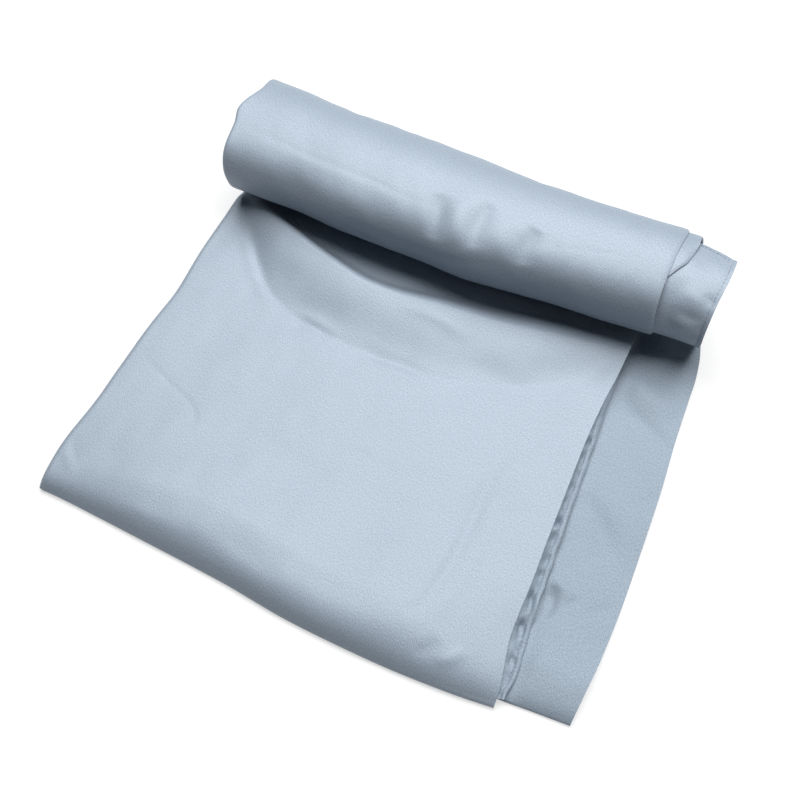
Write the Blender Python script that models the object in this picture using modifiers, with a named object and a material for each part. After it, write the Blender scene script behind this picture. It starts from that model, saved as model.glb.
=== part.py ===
"""Evening stole in satin, folded in four and half rolled up.

The cloth is 180 cm long and 70 cm wide. It is folded along its length, which makes the left
edge, then across, which makes the front edge, and rolled from its free ends towards the front.
Plan coordinates are millimetres: X runs along the roll from the lengthwise fold at the left,
Y from the front fold back to the roll, Z up from the table. The finished part has its origin
at the bottom centre of its box.
"""

import math

import bmesh
import bpy

MM = 0.001

# The cloth
WALL = 1.2            # thickness of a modelled layer
GAP = 0.3             # between layers that touch
PLAN_CENTRE = (187.3, 183.0)    # of the whole part's box, becomes the origin

# The flat stack, from the table up
UNDER_BACK = 302.5    # where the flat layers end, hidden below the roll
LAYER_STEP = WALL + GAP
LAYER_SLACK = 0.7     # more room below the top layer, whose facets cut its curves
STACK_TOP = 9.6       # top of the stack where the roll presses on it
PANEL_TOP = 11.2      # top of the stack elsewhere
FOLD_LIFT = 0.3       # the folds stop just above the table
FOLD_TURN = 150.0     # degrees that a fold turns, from the top round to the underside
FOLD_NOSE = 0.35      # how high a fold's nose is, as a share of the fold's height
LEFT_REACH = 5.0      # how far the rounding of the left fold reaches in
UNDER_INSET = 5.0     # lowest layer, back from the fold line
UNDER_RIGHT = 316.0
FRONT_LEVEL_START = 10.0    # behind this the front fold's height turns into the panel's
FRONT_LEVEL_RUN = 60.0      # and it does so over this length
FRONT_DROOP = 3.6           # the panel sinks by this towards the front fold
FRONT_DROOP_RUN = 34.0
SWELL_SOFT_FOOT = 0.25      # share of the swell that starts softly, without a crisp foot
FOLD_STEPS = 5        # faces round a fold
PANEL_COLUMNS = 15
PANEL_ROWS = (2, 6, 4, 5, 3)  # up to the droop's end, the swell's foot, crest, heel, the back
COLUMN_SPREAD = 1.35  # above 1, columns are closer together at the left

# The hidden layers inside the flat stack
CORE_INSET = 5.0      # back from the fold line
CORE_ROUNDING = 6.0
CORE_REACH_MORE = 2.0       # how much further in its front rounding reaches than the fold's
CORE_FRONT_DROP = 4.2       # how far its rounded edges come down
CORE_LEFT_DROP = 3.2
CORE_EDGE = 1.4             # least height at its edges
CORE_EDGE_PARTS = (0.0, 0.006, 0.024)       # closer lines along its rounded edges
CORE_TOP_RIGHT = 294.0      # upper hidden layer ends here
CORE_LOW_RIGHT = 316.0      # next hidden layer ends here
CORE_RISER = 0.4

# The wide layer's strip on the table
STRIP_LEFT = UNDER_RIGHT + GAP
STRIP_FOLD_TOP = 5.1        # height of its front fold
STRIP_FOLD_REACH = 7.0
STRIP_FOLD_FADE = 26.0      # the height of the fold runs out over this length
STRIP_FLAP = 20.0           # how far its underside runs back below it
STRIP_WAVE = 1.3
STRIP_WAVE_START = 20.0
STRIP_WAVE_LENGTH = 92.0

# The second layer's hemmed margin
MARGIN_LEFT = 296.0
MARGIN_FRONT = 8.0
MARGIN_FRONT_CLEAR = 1.0    # its front end stops this far behind the front fold's rounding
MARGIN_BACK = 236.0
MARGIN_DROOP = 1.6
MARGIN_DROOP_INSIDE = 3.0   # the droop starts this far inside the top layer's edge
MARGIN_DROOP_RUN = 9.0
MARGIN_WAVE = 0.7
MARGIN_WAVE_LENGTH = 36.0

# The roll
ROLL_CENTRE_Z = 42.0
ROLL_HALF_HEIGHT = 34.0
ROLL_TUCK_Z = 10.2          # underside of the roll where it lies on the stack
ROLL_START = -90.0          # degrees: 0 is the back, 90 the top, 180 the front
ROLL_END = 250.0
LEFT_LIP = 3.2              # radius of the turned-in fold at the roll's left end
LEFT_LIP_TURN = 130.0       # degrees
LEFT_LIP_STEPS = 4
ROLL_LOOSENESS = 0.9        # between the outer layer and the rolled core
ROLL_SHELL = 5.5            # the layers outside the core, at the right end
ROLL_SHELL_START = 286.0
SECOND_LEFT = 290.0         # left edges of the two layers modelled at the right end
WIDE_LEFT = 292.0
ROLL_FLAT_FRONT = UNDER_BACK + GAP      # the lowest layer's flat run below the roll
CORE_TAIL_FRONT = 304.6     # front of the stack's layers as they run up into the roll
CORE_TAIL_DROP = 1.4
CORE_TURNS = 5
CORE_TURN = 4.6             # one turn's thickness at the ends of the rolled core
CORE_END_STEP = 2.6
CORE_LEFT = 9.0
CORE_RIGHT = 345.0
CORE_SECTIONS = (60.0, 115.0, 170.0, 225.0, ROLL_SHELL_START - 1.0)
CORE_STEPS = 32             # points round a section, besides its tail

# Name, base colour, roughness of each layer's satin
SATIN_OUTER = ("dusty_blue_satin", (0.50, 0.58, 0.66, 1.0), 0.42)
SATIN_INNER = ("dusty_blue_satin_shade", (0.40, 0.48, 0.57, 1.0), 0.50)

# Left fold line, seen from above: y, x
LEFT_FOLD = ((0, -3.0), (20, -4.8), (45, -6.8), (80, -4.4), (110, -3.8), (150, -2.4),
             (186, 0.2), (226, -1.6), (258, -1.1), (300, 0.8))

# Front fold line: x, y at the nose, reach of the rounding, height of the fold
FRONT_FOLD = ((-8, 9.6, 9.0, 10.0), (20, 9.0, 11.0, 10.8), (80, 5.8, 15.0, 11.6),
              (140, 2.6, 18.0, 12.2), (188, -4.4, 18.0, 12.2), (247, -6.4, 16.0, 12.0),
              (296, -4.8, 14.0, 12.4), (332, -1.2, 12.0, 12.8))

# The swell where the panel runs up to the roll: x, y of its foot, of its crest, of its heel
# in the dip before the roll, and its height
SWELL = ((-8, 266, 282, 294, 0.5), (14, 258, 278, 293, 3.8), (30, 246, 272, 287, 9.0),
         (62, 214, 260.5, 275, 13.4), (96, 200, 249.5, 264, 14.0), (134, 196, 241, 257, 12.2),
         (189, 196, 244.5, 264, 9.8), (243, 212, 249.5, 273, 8.0), (290, 232, 259, 284, 6.0),
         (332, 246, 269, 290, 3.0))

# Right edges, seen from above: y, x
TOP_EDGE = ((-10, 330.5), (4, 330), (14, 328.5), (36, 325), (56, 323.6), (78, 324), (109, 322),
            (146, 323), (204, 324.2), (251, 326), (300, 326))
MARGIN_EDGE = ((8, 332), (32, 335), (50, 332.4), (72, 330.9), (91, 332), (116, 331.5),
               (142, 330.5), (178, 328.7), (211, 325.2), (240, 323.5), (264, 323))
STRIP_EDGE = ((-10, 376), (8, 376.6), (24, 377.9), (53, 380.3), (96, 381.5), (156, 380.3),
              (188, 379.3), (221, 377.2), (255, 376), (284, 374.2), (294, 371), (304, 366))
STRIP_FRONT = ((290, 4.4), (329, 4.2), (350, 5.6), (378, 7.3))

# The roll along its length: x, half depth, y of its centre
ROLL_SECTIONS = ((-12, 51.0, 322.0), (0, 51.0, 321.7), (50, 48.8, 319.6), (100, 49.8, 316.6),
                 (145, 49.6, 315.6), (194, 48.9, 313.0), (238, 46.4, 314.4), (290, 44.2, 315.6),
                 (335, 44.0, 317.6), (380, 44.0, 318.0))

# Ends of the roll's layers: angle, x
ROLL_LEFT_END = ((-90, -1), (0, -3), (40, -4), (68, -1.5), (98, -7), (115, -3.6), (142, -2.6),
                 (172, 0.6), (205, 2), (250, 3))
ROLL_RIGHT_END = ((-90, 331), (0, 333), (51, 334), (97, 331.8), (134, 332), (172, 334.4),
                  (208, 335.4), (250, 335))
SECOND_RIGHT_END = ((-84, 350), (0, 352), (40, 347.5), (51, 345.2), (72, 344.4), (95, 341),
                    (106, 336.4), (116, 332), (130, 325), (176, 318))
WIDE_RIGHT_END = ((72, 371.8), (96, 371.4), (128, 369.5), (156, 369.8), (197, 371.2),
                  (250, 370))
WIDE_INSET = ((72, 4.2), (110, 3.2), (250, 3.0))


def blend_table(rows, at, column=1):
    """Smooth value of a table's column at a key that lies between its rows."""
    if at <= rows[0][0]:
        return rows[0][column]
    if at >= rows[-1][0]:
        return rows[-1][column]
    index = next(i for i in range(len(rows) - 1) if rows[i + 1][0] >= at)
    low, high = rows[index], rows[index + 1]
    before = rows[max(index - 1, 0)]
    after = rows[min(index + 2, len(rows) - 1)]
    span = high[0] - low[0]
    part = (at - low[0]) / span
    slope_low = (high[column] - before[column]) / (high[0] - before[0]) * span
    slope_high = (after[column] - low[column]) / (after[0] - low[0]) * span
    square, cube = part * part, part * part * part
    return ((2 * cube - 3 * square + 1) * low[column] + (cube - 2 * square + part) * slope_low
            + (3 * square - 2 * cube) * high[column] + (cube - square) * slope_high)


def ease(part):
    """Smooth ramp from 0 to 1."""
    part = min(max(part, 0.0), 1.0)
    return part * part * (3.0 - 2.0 * part)


def mix(low, high, part):
    return low + (high - low) * part


def panel_height(x, y):
    """Top of the folded stack: level, swelling up before the roll, pressed flat below it."""
    foot, crest, heel, swell = (blend_table(SWELL, x, column) for column in (1, 2, 3, 4))
    nose, fold = blend_table(FRONT_FOLD, x, 1), blend_table(FRONT_FOLD, x, 3)
    level = mix(fold, PANEL_TOP, ease((y - FRONT_LEVEL_START) / FRONT_LEVEL_RUN))
    level -= FRONT_DROOP * (1.0 - ease((y - nose) / FRONT_DROOP_RUN))
    if y <= crest:
        rise = min(max((y - foot) / (crest - foot), 0.0), 1.0)
        return level + swell * mix(math.sin(rise * math.pi / 2.0), ease(rise), SWELL_SOFT_FOOT)
    return mix(level + swell, STACK_TOP, ease((y - crest) / (heel - crest)))


def panel_x(left, right, part):
    """Place across the panel, with columns closer together at the left."""
    return mix(left, right, part ** COLUMN_SPREAD)


def panel_y(front, x, part):
    """Place along the panel, with rows gathered where it sinks and where it swells."""
    droop_end = blend_table(FRONT_FOLD, x, 1) + FRONT_DROOP_RUN
    swell_stops = [blend_table(SWELL, x, column) for column in (1, 2, 3)]
    stops = [front, droop_end, *swell_stops, UNDER_BACK]
    row = part * sum(PANEL_ROWS)
    for low, high, count in zip(stops, stops[1:], PANEL_ROWS):
        if row <= count:
            return mix(low, high, row / count)
        row -= count
    return UNDER_BACK


def steepness(x, y):
    """How much longer a wall's height is than its thickness, where the panel slopes."""
    slope_x = (panel_height(x + 1.0, y) - panel_height(x - 1.0, y)) / 2.0
    slope_y = (panel_height(x, y + 1.0) - panel_height(x, y - 1.0)) / 2.0
    return math.sqrt(1.0 + slope_x ** 2 + slope_y ** 2)


def spread(part, count):
    """Place along a grid: turn of its fold, 1 outermost and 0 none, and share of the panel."""
    index = round(part * (FOLD_STEPS + count))
    if index < FOLD_STEPS:
        return 1.0 - index / FOLD_STEPS, 0.0
    return 0.0, (index - FOLD_STEPS) / count


def panel_place(along_x, along_y):
    """Plan position on the panel, inside the rounding of its two folds."""
    x = panel_x(LEFT_REACH, TOP_EDGE[-1][1], along_x)
    reach = blend_table(FRONT_FOLD, x, 2)
    y = panel_y(blend_table(FRONT_FOLD, x, 1) + reach, x, along_y)
    x = panel_x(blend_table(LEFT_FOLD, y) + LEFT_REACH, blend_table(TOP_EDGE, y), along_x)
    return x, y, reach


def folded_panel_point(u, v):
    """A point on the outer side of the top layer, which turns down at its left and front."""
    turn_x, along_x = spread(u, PANEL_COLUMNS)
    turn_y, along_y = spread(v, sum(PANEL_ROWS))
    x, y, reach = panel_place(along_x, along_y)
    z = panel_height(x, y)
    turn = max(turn_x, turn_y)
    if turn == 0.0:
        return x, y, z
    length = math.hypot(turn_x, turn_y)
    toward_x, toward_y = turn_x / length, turn_y / length
    angle = math.radians(turn * FOLD_TURN)
    below = (z - FOLD_LIFT) * FOLD_NOSE
    above = z - FOLD_LIFT - below
    out_x = fold_reach(LEFT_REACH, below, angle)
    out_y = fold_reach(reach, below, angle)
    down = above * (1.0 - max(math.cos(angle), 0.0)) - below * min(math.cos(angle), 0.0)
    return x - toward_x * out_x, y - toward_y * out_y, z - down


def fold_reach(reach, radius, angle):
    """How far out a fold has come: a long rounding above its nose, a round one below."""
    if angle <= math.pi / 2.0:
        return reach * math.sin(angle)
    return reach - radius * (1.0 - math.sin(angle))


def roll_point(x, angle, inset):
    """A point on the roll, a given depth below its outer side."""
    half_depth = blend_table(ROLL_SECTIONS, x, 1) - inset
    centre_y = blend_table(ROLL_SECTIONS, x, 2)
    turn = math.radians(angle)
    y = centre_y + half_depth * math.cos(turn)
    if math.sin(turn) >= 0.0:
        half_height = ROLL_HALF_HEIGHT
    elif angle < 90.0:
        half_height = ROLL_CENTRE_Z
    else:
        half_height = ROLL_CENTRE_Z - ROLL_TUCK_Z
    return x, y, ROLL_CENTRE_Z + (half_height - inset) * math.sin(turn)


def to_part(point):
    """Plan millimetres to the part's own frame in metres."""
    return ((point[0] - PLAN_CENTRE[0]) * MM, (point[1] - PLAN_CENTRE[1]) * MM, point[2] * MM)


def satin(finish):
    """One Principled material for each finish, made once."""
    name, colour, roughness = finish
    material = bpy.data.materials.get(name)
    if material is None:
        material = bpy.data.materials.new(name)
        material.use_nodes = True
        shader = material.node_tree.nodes["Principled BSDF"]
        shader.inputs["Base Color"].default_value = colour
        shader.inputs["Roughness"].default_value = roughness
        shader.inputs["Metallic"].default_value = 0.0
        shader.inputs["Sheen Weight"].default_value = 0.25
    return material


def add_object(name, bm, finish, collection):
    mesh = bpy.data.meshes.new(name)
    bm.to_mesh(mesh)
    bm.free()
    mesh.materials.append(satin(finish))
    mesh.shade_smooth()
    piece = bpy.data.objects.new(name, mesh)
    collection.objects.link(piece)
    return piece


def cloth_sheet(name, columns, rows, surface, finish, collection, flip=False):
    """A cloth wall: a grid laid on its outer side, thickened inwards."""
    bm = bmesh.new()
    bmesh.ops.create_grid(bm, x_segments=columns, y_segments=rows, size=0.5)
    for vert in bm.verts:
        vert.co = to_part(surface(vert.co.x + 0.5, vert.co.y + 0.5))
    if flip:
        bmesh.ops.reverse_faces(bm, faces=bm.faces)
    piece = add_object(name, bm, finish, collection)
    wall = piece.modifiers.new("wall", "SOLIDIFY")
    wall.thickness = WALL * MM
    wall.offset = -1.0
    wall.use_even_offset = True
    return piece


def make_top_layer(collection):
    """Top of the stack with its rounded left and front folds."""
    columns, rows = FOLD_STEPS + PANEL_COLUMNS, FOLD_STEPS + sum(PANEL_ROWS)
    return cloth_sheet("top_layer", columns, rows, folded_panel_point, SATIN_OUTER, collection)


def make_under_layer(collection):
    """Lowest layer, flat on the table."""
    columns, rows = 10, 10

    def surface(u, v):
        y = mix(0.0, UNDER_BACK, v)
        left = blend_table(LEFT_FOLD, y) + UNDER_INSET
        x = mix(left, UNDER_RIGHT, u)
        front = blend_table(FRONT_FOLD, x, 1) + UNDER_INSET
        return x, mix(front, UNDER_BACK, v), WALL

    return cloth_sheet("under_layer", columns, rows, surface, SATIN_INNER, collection)


def strip_height(x, y):
    """Top of the wide layer: from its front fold down to the table, in low waves."""
    front = blend_table(STRIP_FRONT, x)
    turn = math.tau * (y - STRIP_WAVE_START) / STRIP_WAVE_LENGTH
    wave = STRIP_WAVE * (0.5 - 0.5 * math.cos(turn))
    raised = 1.0 - ease((y - front - STRIP_FLAP) / STRIP_FOLD_FADE)
    return mix(WALL + wave, STRIP_FOLD_TOP, raised)


def make_lower_layer(collection):
    """The wide layer, whose right margin lies on the table with its own front fold."""
    columns, flap_rows, turn_rows, strip_rows = 6, 2, 6, 22
    rows = flap_rows + turn_rows + strip_rows

    def surface(u, v):
        index = round(v * rows)
        x = mix(STRIP_LEFT, STRIP_EDGE[1][1], u)
        front = blend_table(STRIP_FRONT, x)
        radius = STRIP_FOLD_TOP / 2.0
        if index < flap_rows:
            return x, mix(front + STRIP_FLAP, front + radius, index / flap_rows), 0.0
        if index < flap_rows + turn_rows:
            angle = math.pi * (1.0 - (index - flap_rows) / turn_rows)
            out = fold_reach(STRIP_FOLD_REACH, radius, angle)
            return x, front + STRIP_FOLD_REACH - out, radius * (1.0 + math.cos(angle))
        along = (index - flap_rows - turn_rows) / strip_rows
        y = mix(front + STRIP_FOLD_REACH, UNDER_BACK, along)
        x = mix(STRIP_LEFT, blend_table(STRIP_EDGE, y), u)
        return x, y, strip_height(x, y)

    return cloth_sheet("lower_layer", columns, rows, surface, SATIN_INNER, collection)


def margin_height(x, y):
    """Top of the second layer: just below the top layer, drooping past its edge."""
    past_edge = x - blend_table(TOP_EDGE, y) + MARGIN_DROOP_INSIDE
    beyond = ease(past_edge / MARGIN_DROOP_RUN)
    wave = MARGIN_WAVE * math.sin(math.tau * y / MARGIN_WAVE_LENGTH)
    below = LAYER_STEP * steepness(x, y) + LAYER_SLACK
    return panel_height(x, y) - below - beyond * (MARGIN_DROOP - wave)


def make_second_layer(collection):
    """Hemmed margin of the second layer, which peeks out along the top layer's edge."""
    columns, rows = 8, 36

    def surface(u, v):
        y = mix(MARGIN_FRONT, MARGIN_BACK, v)
        x = mix(MARGIN_LEFT, blend_table(MARGIN_EDGE, y), u)
        if v == 0.0:
            front = blend_table(FRONT_FOLD, x, 1) + blend_table(FRONT_FOLD, x, 2)
            y = max(y, front + MARGIN_FRONT_CLEAR)
        return x, y, margin_height(x, y)

    return cloth_sheet("second_layer", columns, rows, surface, SATIN_INNER, collection)


def core_bottom(x):
    """Underside of the hidden layers, one step higher past the lowest layer's edge."""
    return LAYER_STEP if x <= CORE_TOP_RIGHT else 2.0 * LAYER_STEP


def core_top(x, y):
    """Top of the hidden layers, one step lower where the second layer takes over."""
    below = LAYER_STEP * steepness(x, y) + LAYER_SLACK
    if x > CORE_TOP_RIGHT + CORE_RISER / 2.0:
        below *= 2.0
    front = blend_table(FRONT_FOLD, x, 1) + CORE_INSET
    left = blend_table(LEFT_FOLD, y) + CORE_INSET
    reach = blend_table(FRONT_FOLD, x, 2) + CORE_REACH_MORE
    from_front = min((y - front) / reach, 1.0)
    from_left = min((x - left) / CORE_ROUNDING, 1.0)
    rounding = (1.0 - from_front) ** 2 * CORE_FRONT_DROP
    rounding += (1.0 - from_left) ** 2 * CORE_LEFT_DROP
    return max(panel_height(x, y) - below - rounding, core_bottom(x) + CORE_EDGE)


def make_folded_core(collection):
    """The layers hidden inside the stack, as one rounded solid with stepped edges."""
    columns_x = [*CORE_EDGE_PARTS, *(i / PANEL_COLUMNS for i in range(1, PANEL_COLUMNS + 1))]
    panel_rows = sum(PANEL_ROWS)
    rows_y = [*CORE_EDGE_PARTS, *(i / panel_rows for i in range(1, panel_rows + 1))]
    bm = bmesh.new()
    sides = []
    for side in ("top", "bottom"):
        grid = []
        for part_y in rows_y:
            places = [panel_x(CORE_INSET, CORE_TOP_RIGHT, part) for part in columns_x]
            places += [CORE_TOP_RIGHT + CORE_RISER, CORE_LOW_RIGHT]
            row = []
            for x in places:
                front = blend_table(FRONT_FOLD, x, 1) + CORE_INSET
                y = panel_y(front, x, part_y)
                x += blend_table(LEFT_FOLD, y) * (1.0 - min(x / CORE_TOP_RIGHT, 1.0))
                z = core_top(x, y) if side == "top" else core_bottom(x)
                row.append(bm.verts.new(to_part((x, y, z))))
            grid.append(row)
        sides.append(grid)
    join_sides(bm, *sides)
    return add_object("folded_core", bm, SATIN_INNER, collection)


def join_sides(bm, top, bottom):
    """Faces for two grids of vertices over the same plan, and for the wall around them."""
    rows, columns = len(top), len(top[0])
    for j in range(rows - 1):
        for i in range(columns - 1):
            bm.faces.new((top[j][i], top[j][i + 1], top[j + 1][i + 1], top[j + 1][i]))
            bm.faces.new((bottom[j][i], bottom[j + 1][i], bottom[j + 1][i + 1],
                          bottom[j][i + 1]))
    rim = [(0, i) for i in range(columns)]
    rim += [(j, columns - 1) for j in range(1, rows)]
    rim += [(rows - 1, i) for i in range(columns - 2, -1, -1)]
    rim += [(j, 0) for j in range(rows - 2, 0, -1)]
    for (j0, i0), (j1, i1) in zip(rim, rim[1:] + rim[:1]):
        bm.faces.new((bottom[j0][i0], bottom[j1][i1], top[j1][i1], top[j0][i0]))


def make_roll_outer(collection):
    """The lowest layer, which runs up behind the roll, over it and down its front."""
    columns, rows = 16, 33

    def surface(u, v):
        row = round(v * rows)
        angle = mix(ROLL_START, ROLL_END, max(row - 1, 0) / (rows - 1))
        left = blend_table(ROLL_LEFT_END, angle)
        right = blend_table(ROLL_RIGHT_END, angle)
        index = round(u * columns) - LEFT_LIP_STEPS
        if index < 0:
            turn = math.radians(LEFT_LIP_TURN) * -index / LEFT_LIP_STEPS
            x = left + LEFT_LIP * (1.0 - math.sin(turn))
            inset = LEFT_LIP * (1.0 - math.cos(turn))
        else:
            x = mix(left + LEFT_LIP, right, index / (columns - LEFT_LIP_STEPS))
            inset = 0.0
        if row == 0:
            return x, ROLL_FLAT_FRONT, inset
        return roll_point(x, angle, inset)

    return cloth_sheet("roll_outer", columns, rows, surface, SATIN_OUTER, collection, flip=True)


def make_roll_second(collection):
    """The next layer, whose slanting edge shows past the outer layer at the right end."""
    columns, rows = 5, 30

    def surface(u, v):
        angle = mix(SECOND_RIGHT_END[0][0], SECOND_RIGHT_END[-1][0], v)
        x = mix(SECOND_LEFT, blend_table(SECOND_RIGHT_END, angle), u)
        return roll_point(x, angle, LAYER_STEP)

    return cloth_sheet("roll_second", columns, rows, surface, SATIN_OUTER, collection, flip=True)


def make_roll_wide(collection):
    """The wide layer, which comes up the front and ends in the stole's own hem on top."""
    columns, rows = 8, 24

    def surface(u, v):
        angle = mix(WIDE_INSET[0][0], WIDE_INSET[-1][0], v)
        x = mix(WIDE_LEFT, blend_table(WIDE_RIGHT_END, angle), u)
        return roll_point(x, angle, blend_table(WIDE_INSET, angle))

    return cloth_sheet("roll_wide", columns, rows, surface, SATIN_OUTER, collection, flip=True)


def core_ring(bm, x, inset):
    """One section of the rolled core, with the tail where the stack runs into it."""
    points = []
    for index in range(CORE_STEPS):
        angle = mix(ROLL_START, ROLL_END, index / (CORE_STEPS - 1))
        points.append(roll_point(x, angle, WALL + ROLL_LOOSENESS + inset))
    tail_top = points[-1][2]
    tail_y = CORE_TAIL_FRONT + inset
    points.append((x, tail_y, tail_top - CORE_TAIL_DROP))
    points.append((x, tail_y, LAYER_STEP + inset))
    return [bm.verts.new(to_part(point)) for point in points]


def make_roll_core(collection):
    """The inner turns as one solid, stepped at both ends like the edges of a spiral."""
    sections = []
    for turn in range(CORE_TURNS, 0, -1):
        x = CORE_LEFT + CORE_END_STEP * turn
        sections.append((x, CORE_TURN * turn))
        sections.append((x - CORE_END_STEP, CORE_TURN * turn))
    sections += [(x, 0.0) for x in (CORE_LEFT, *CORE_SECTIONS)]
    sections.append((ROLL_SHELL_START, ROLL_SHELL))
    for turn in range(1, CORE_TURNS + 1):
        x = CORE_RIGHT - CORE_END_STEP * (turn - 1)
        sections.append((x, ROLL_SHELL + CORE_TURN * (turn - 1)))
        sections.append((x, ROLL_SHELL + CORE_TURN * turn))
    bm = bmesh.new()
    rings = [core_ring(bm, x, inset) for x, inset in sections]
    count = len(rings[0])
    for first, second in zip(rings, rings[1:]):
        for i in range(count):
            k = (i + 1) % count
            bm.faces.new((first[i], first[k], second[k], second[i]))
    bm.faces.new(rings[0][::-1])
    bm.faces.new(rings[-1])
    bmesh.ops.recalc_face_normals(bm, faces=bm.faces)
    return add_object("roll_core", bm, SATIN_INNER, collection)


def main():
    for item in list(bpy.data.objects):
        bpy.data.objects.remove(item, do_unlink=True)
    collection = bpy.data.collections.new("evening_stole")
    bpy.context.scene.collection.children.link(collection)
    make_top_layer(collection)
    make_second_layer(collection)
    make_folded_core(collection)
    make_lower_layer(collection)
    make_under_layer(collection)
    make_roll_outer(collection)
    make_roll_second(collection)
    make_roll_wide(collection)
    make_roll_core(collection)


main()
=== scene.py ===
# %% [markdown]
# An evening stole is one long piece of satin. Here it lies folded in four, and its far half
# is rolled up towards the front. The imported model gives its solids: plain walls of cloth that
# are right in size and place. This script dresses each of them with a thin, creased sheet of
# satin, hemmed and stitched where the real one is.
# Most sizes below are plan millimetres: X runs along the roll from the lengthwise fold at the
# left, Y from the front fold back to the roll, and Z up from the table.

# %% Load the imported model
import math

import bpy
import numpy as np
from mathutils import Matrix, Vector


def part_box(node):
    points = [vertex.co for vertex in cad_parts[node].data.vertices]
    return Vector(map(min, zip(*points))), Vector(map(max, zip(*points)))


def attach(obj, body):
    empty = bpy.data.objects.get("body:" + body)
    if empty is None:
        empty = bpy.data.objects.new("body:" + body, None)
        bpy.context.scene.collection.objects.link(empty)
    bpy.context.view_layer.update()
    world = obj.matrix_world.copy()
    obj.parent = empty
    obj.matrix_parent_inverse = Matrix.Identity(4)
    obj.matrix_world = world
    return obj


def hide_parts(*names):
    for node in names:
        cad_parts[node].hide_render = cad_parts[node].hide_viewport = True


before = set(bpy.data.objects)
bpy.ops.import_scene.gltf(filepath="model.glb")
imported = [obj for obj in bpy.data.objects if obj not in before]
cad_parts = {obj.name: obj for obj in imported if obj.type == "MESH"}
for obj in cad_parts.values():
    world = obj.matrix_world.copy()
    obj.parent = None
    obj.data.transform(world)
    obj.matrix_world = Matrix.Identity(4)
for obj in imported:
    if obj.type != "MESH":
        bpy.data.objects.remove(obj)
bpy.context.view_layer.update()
for node in sorted(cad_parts):
    low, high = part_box(node)
    print(node, [round(float(side) * 1000) for side in high - low], "mm")

# %% [markdown]
# The camera looks down on the stole from its right front corner. Its height, turn and distance
# were found by fitting the corners of the folded cloth to the photograph. A lens a little longer
# than a normal one keeps the far roll from looking small.

# %% Camera
TARGET = Vector((0.0017, -0.0100, 0.0))
AZIMUTH, ELEVATION = math.radians(24.2), math.radians(60.4)
DISTANCE = 0.781
LENS, SENSOR = 49.5, 36.0

back = Vector((math.sin(AZIMUTH) * math.cos(ELEVATION),
               -math.cos(AZIMUTH) * math.cos(ELEVATION), math.sin(ELEVATION)))
bpy.ops.object.select_all(action="DESELECT")
bpy.ops.object.camera_add(location=TARGET + back * DISTANCE)
camera = bpy.context.object
camera.name = "view_from_right_front"
camera.rotation_mode = "QUATERNION"
camera.rotation_quaternion = (-back).to_track_quat("-Z", "Y")
camera.data.lens, camera.data.sensor_width = LENS, SENSOR
bpy.context.scene.camera = camera
print("camera at", [round(side, 4) for side in camera.location])

# %% [markdown]
# Satin tells its shape by light alone, so the lights matter more than the colour. The
# photograph's light is one wide soft panel overhead and behind the stole: upper sides are
# pale, and sides that turn to the front fall off quickly into a deep blue grey. A weak panel
# at the right catches the cut edges, and a faint blue sky fills the shadows. The floor glows
# a little, like a light table, so that it stays white and takes hardly any shadow.

# %% Floor and lights
FLOOR_SIZE, FLOOR_DROP = 6.0, 0.0002                # it lies just clear of the cloth
FLOOR_COLOUR, FLOOR_GLOW = (0.34, 0.34, 0.34, 1.0), 0.60

bpy.ops.object.select_all(action="DESELECT")
bpy.ops.mesh.primitive_plane_add(size=FLOOR_SIZE, location=(0.0, 0.0, -FLOOR_DROP))
floor = bpy.context.object
floor.name = "floor"
paper = bpy.data.materials.new("white_paper")
paper.use_nodes = True
paper_shader = paper.node_tree.nodes["Principled BSDF"]
paper_shader.inputs["Base Color"].default_value = FLOOR_COLOUR
paper_shader.inputs["Roughness"].default_value = 0.9
paper_shader.inputs["Emission Color"].default_value = (1.0, 1.0, 1.0, 1.0)
paper_shader.inputs["Emission Strength"].default_value = FLOOR_GLOW
floor.data.materials.append(paper)

SKY_COLOUR, SKY_STRENGTH = (0.45, 0.66, 1.0, 1.0), 0.025
PANELS = (("soft_panel", Vector((-0.1, 0.62, 1.6)), (1.9, 1.4), 59.5),
          ("side_panel", Vector((1.6, 0.0, 0.5)), (0.8, 0.6), 5.0))     # place, size, watts

world = bpy.data.worlds.new("studio")
world.use_nodes = True
world.node_tree.nodes["Background"].inputs["Color"].default_value = SKY_COLOUR
world.node_tree.nodes["Background"].inputs["Strength"].default_value = SKY_STRENGTH
bpy.context.scene.world = world
for name, place, size, power in PANELS:
    bpy.ops.object.light_add(type="AREA", location=place)
    light = bpy.context.object
    light.name = name
    light.data.shape = "RECTANGLE"
    light.data.size, light.data.size_y = size
    light.data.energy = power
    light.rotation_mode = "QUATERNION"
    light.rotation_quaternion = (-place).to_track_quat("-Z", "Y")
    print(name, size, "m,", power, "W")
bpy.context.scene.view_settings.view_transform = "Standard"

# %% [markdown]
# Every fold line and every edge of the stole is a short table of places, read between its rows
# by a smooth curve. Small swellings along a line are tables too, of rounded humps. The
# functions work on whole grids of places at once, which keeps the script quick although the
# sheets are fine.

# %% Smooth tables
MM = 0.001
PLAN_CENTRE = (187.3, 183.0)


def smooth_table(rows, at, column=1):
    """A column's value between its rows, for a whole array of places."""
    table = np.array(rows, float)
    keys, values = table[:, 0], table[:, column]
    before = np.maximum(np.arange(len(keys)) - 1, 0)
    after = np.minimum(np.arange(len(keys)) + 1, len(keys) - 1)
    slopes = (values[after] - values[before]) / (keys[after] - keys[before])
    at = np.clip(at, keys[0], keys[-1])
    low = np.clip(np.searchsorted(keys, at) - 1, 0, len(keys) - 2)
    span = keys[low + 1] - keys[low]
    part = (at - keys[low]) / span
    square, cube = part ** 2, part ** 3
    return ((2 * cube - 3 * square + 1) * values[low] + (cube - 2 * square + part)
            * slopes[low] * span + (3 * square - 2 * cube) * values[low + 1]
            + (cube - square) * slopes[low + 1] * span)


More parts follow.
